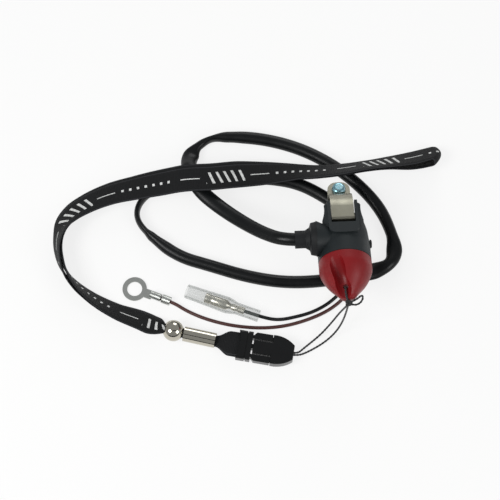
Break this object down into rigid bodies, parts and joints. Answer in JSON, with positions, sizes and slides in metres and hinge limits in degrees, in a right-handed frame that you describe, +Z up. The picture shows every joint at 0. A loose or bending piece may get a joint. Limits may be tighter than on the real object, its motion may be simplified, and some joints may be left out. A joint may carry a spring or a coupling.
{
  "type": "magnetic kill switch",
  "caption": "Handlebar kill switch with a red magnetic pull-off cap, strap clamp, cable with ring and bullet terminals, and a lanyard on a side release buckle.",
  "frame": {"origin": "centre of the handlebar seat", "axes": "+X along the handlebar, -Y towards the red cap, +Z up from the surface that the part lies on"},
  "size_m": [0.1925, 0.1209, 0.0385],
  "materials": {
    "housing": "matt black glass-filled nylon",
    "face_plate": "matt black nylon",
    "contact_carrier": "natural nylon",
    "contact_pin": "turned brass",
    "contact_plate": "nickel plated steel",
    "contact_spring": "spring steel wire",
    "side_plug": "matt black nylon",
    "cable_grommet": "black rubber",
    "clamp_strap": "satin stainless",
    "clamp_screw": "bright zinc",
    "clamp_nut": "bright zinc",
    "cap": "semi-gloss red",
    "magnet": "nickel plated",
    "lead_sheath": "black PVC",
    "wire_black": "black PVC",
    "wire_brown": "brown PVC",
    "ring_terminal": "tinned copper",
    "bullet_socket": "nickel plated brass",
    "bullet_sleeve": "clear PVC",
    "tether_string": "braided black nylon",
    "buckle": "black acetal",
    "webbing": "black polyester webbing",
    "crimp_tube": "polished nickel",
    "slide_bead": "polished nickel"
  },
  "bodies": {
    "switch": {"housing": "housing", "face_plate": "face_plate", "contact_carrier": "contact_carrier", "contact_pin_left": "contact_pin", "contact_pin_right": "contact_pin", "contact_spring": "contact_spring", "side_plug": "side_plug", "cable_grommet": "cable_grommet", "clamp_strap_upper": "clamp_strap", "clamp_strap_lower": "clamp_strap", "clamp_screw": "clamp_screw", "clamp_nut": "clamp_nut", "lead_sheath": "lead_sheath", "wire_black": "wire_black", "wire_brown": "wire_brown", "ring_terminal": "ring_terminal", "bullet_socket": "bullet_socket", "bullet_sleeve": "bullet_sleeve", "tether_string": "tether_string", "buckle_socket": "buckle", "lanyard_webbing": "webbing"},
    "cap": {"cap": "cap", "magnet": "magnet"},
    "contact": {"contact_plate": "contact_plate"},
    "lanyard": {"buckle_plug": "buckle", "webbing_loop": "webbing", "crimp_tube": "crimp_tube", "slide_bead": "slide_bead"}
  },
  "joints": [
    {"name": "cap_pull", "type": "slide", "parent": "switch", "child": "cap", "axis": [0, -0.9703, 0.2419], "range_m": [0, 0.02], "deforming": ["tether_string"]},
    {"name": "contact_travel", "type": "slide", "parent": "switch", "child": "contact", "axis": [0, -0.9703, 0.2419], "range_m": [-0.0013, 0], "stiffness_N_per_m": 200, "deforming": ["contact_spring"]},
    {"name": "buckle_release", "type": "slide", "parent": "switch", "child": "lanyard", "axis": [-0.9774, 0.2113, 0], "range_m": [0, 0.014], "deforming": ["buckle_plug", "lanyard_webbing"]}
  ]
}
